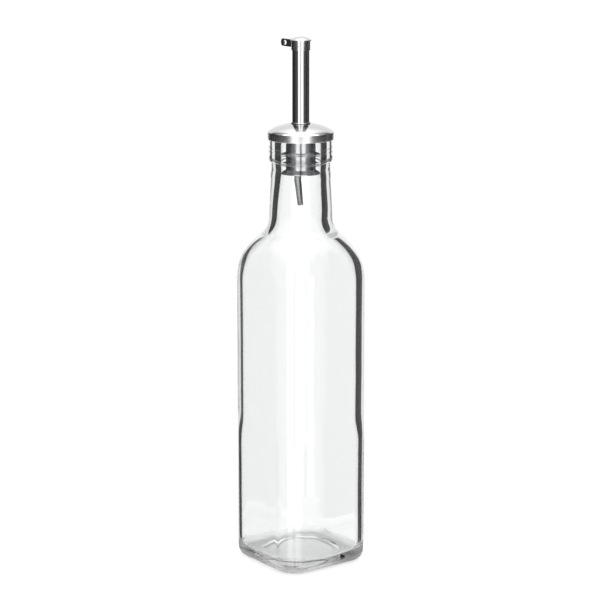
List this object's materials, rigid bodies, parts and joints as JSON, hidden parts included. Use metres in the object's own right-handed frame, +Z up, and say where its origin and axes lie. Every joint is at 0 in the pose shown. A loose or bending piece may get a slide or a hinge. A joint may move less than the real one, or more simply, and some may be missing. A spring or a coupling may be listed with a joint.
{
  "type": "glass oil dispenser bottle with pourer",
  "caption": "Square clear-glass oil or vinegar bottle with a round neck and a push-in steel pour spout with a domed cap and a hinged flap lid.",
  "frame": {"origin": "centre of the base, on the surface that the bottle stands on", "axes": "+Z up along the neck and tube; +Y towards the tab with the eye; flat faces look along X and Y"},
  "size_m": [0.05, 0.05, 0.2523],
  "materials": {
    "clear_glass": "clear soda-lime glass, fire polished",
    "polished_steel": "bright polished stainless steel",
    "satin_steel": "pressed stainless steel, satin",
    "plug_polymer": "glossy grey moulded polymer",
    "washer_rubber": "soft grey elastomer"
  },
  "bodies": {
    "bottle": {"glass_bottle": "clear_glass"},
    "pourer": {"pourer_cap": "polished_steel", "tube_bead": "polished_steel", "pour_tube": "polished_steel", "spout_collar": "polished_steel", "seal_plug": "plug_polymer", "lip_gasket": "washer_rubber", "vent_tube": "polished_steel"},
    "lid": {"flap_lid": "satin_steel", "hinge_pin": "satin_steel"}
  },
  "joints": [
    {"name": "pourer_lift", "type": "slide", "parent": "bottle", "child": "pourer", "axis": [0, 0, 1], "range_m": [0, 0.045]},
    {"name": "lid_hinge", "type": "hinge", "parent": "pourer", "child": "lid", "pos_m": [0, 0.00668, 0.2497], "axis": [-1, 0, 0], "range_deg": [0, 95]}
  ]
}
